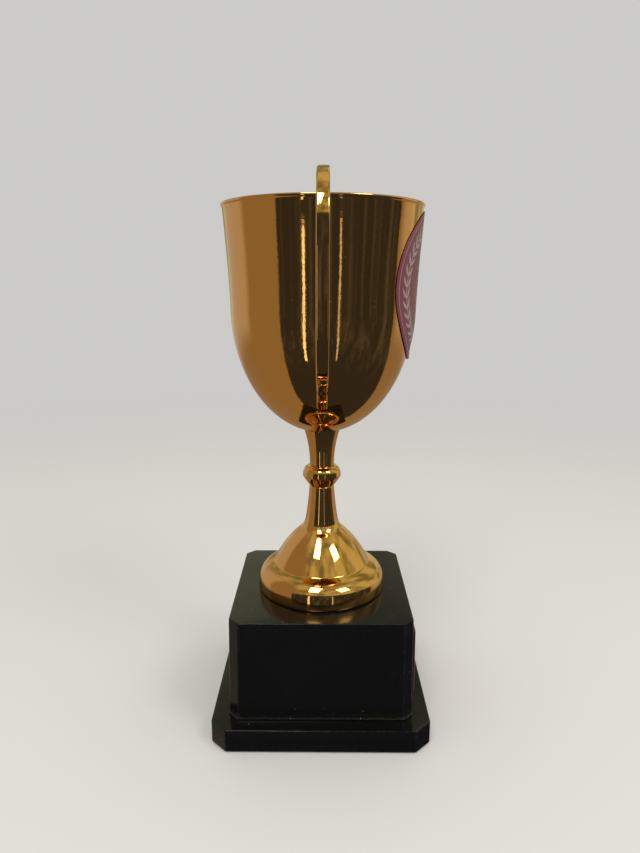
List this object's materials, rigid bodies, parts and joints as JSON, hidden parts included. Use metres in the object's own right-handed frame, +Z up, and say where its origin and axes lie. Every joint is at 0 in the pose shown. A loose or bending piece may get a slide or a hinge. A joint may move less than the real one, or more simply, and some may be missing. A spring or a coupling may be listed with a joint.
{
  "type": "cup trophy",
  "caption": "Two-handled gold cup on a waisted stem and bell foot, held by one tie rod to a black stepped square plinth with a blank nameplate and a round badge.",
  "frame": {"origin": "on the floor, under the middle of the square plinth", "axes": "+Z up through the cup's axis; the front, with the badge and the nameplate, faces -Y; the two handles lie along +X and -X"},
  "size_m": [0.1306, 0.084, 0.2087],
  "materials": {
    "gold_plate": "moulded ABS, vacuum-metallised and lacquered to a warm mirror gold",
    "black_gloss": "black polystyrene moulding, polished faces",
    "black_matt": "black board-like plastic sheet, dull",
    "zinc_steel": "bright zinc-plated steel hardware",
    "cast_ballast": "rough grey iron slab",
    "felt": "black needled felt sheet",
    "foam_tape": "white double-sided foam tape",
    "plate_face": "thin plum laminated panel with a pale pink border, left blank",
    "badge_vinyl": null
  },
  "bodies": {
    "root": {"bowl": "gold_plate", "handle_right": "gold_plate", "handle_left": "gold_plate", "handle_clip_right_top": "zinc_steel", "handle_clip_right_low": "zinc_steel", "handle_clip_left_top": "zinc_steel", "handle_clip_left_low": "zinc_steel", "upper_stem": "gold_plate", "knop_ring": "gold_plate", "foot": "gold_plate", "tie_rod": "zinc_steel", "rod_washer_top": "zinc_steel", "rod_washer_bottom": "zinc_steel", "rod_nut_top": "zinc_steel", "rod_nut_bottom": "zinc_steel", "plinth_block": "black_gloss", "plinth_plate": "black_gloss", "base_screw_1": "zinc_steel", "base_screw_2": "zinc_steel", "base_screw_3": "zinc_steel", "base_screw_4": "zinc_steel", "ballast_slab": "cast_ballast", "bottom_cover": "black_matt", "base_felt": "felt", "nameplate_tape": "foam_tape", "nameplate": "plate_face", "cup_badge": "badge_vinyl"}
  },
  "joints": []
}
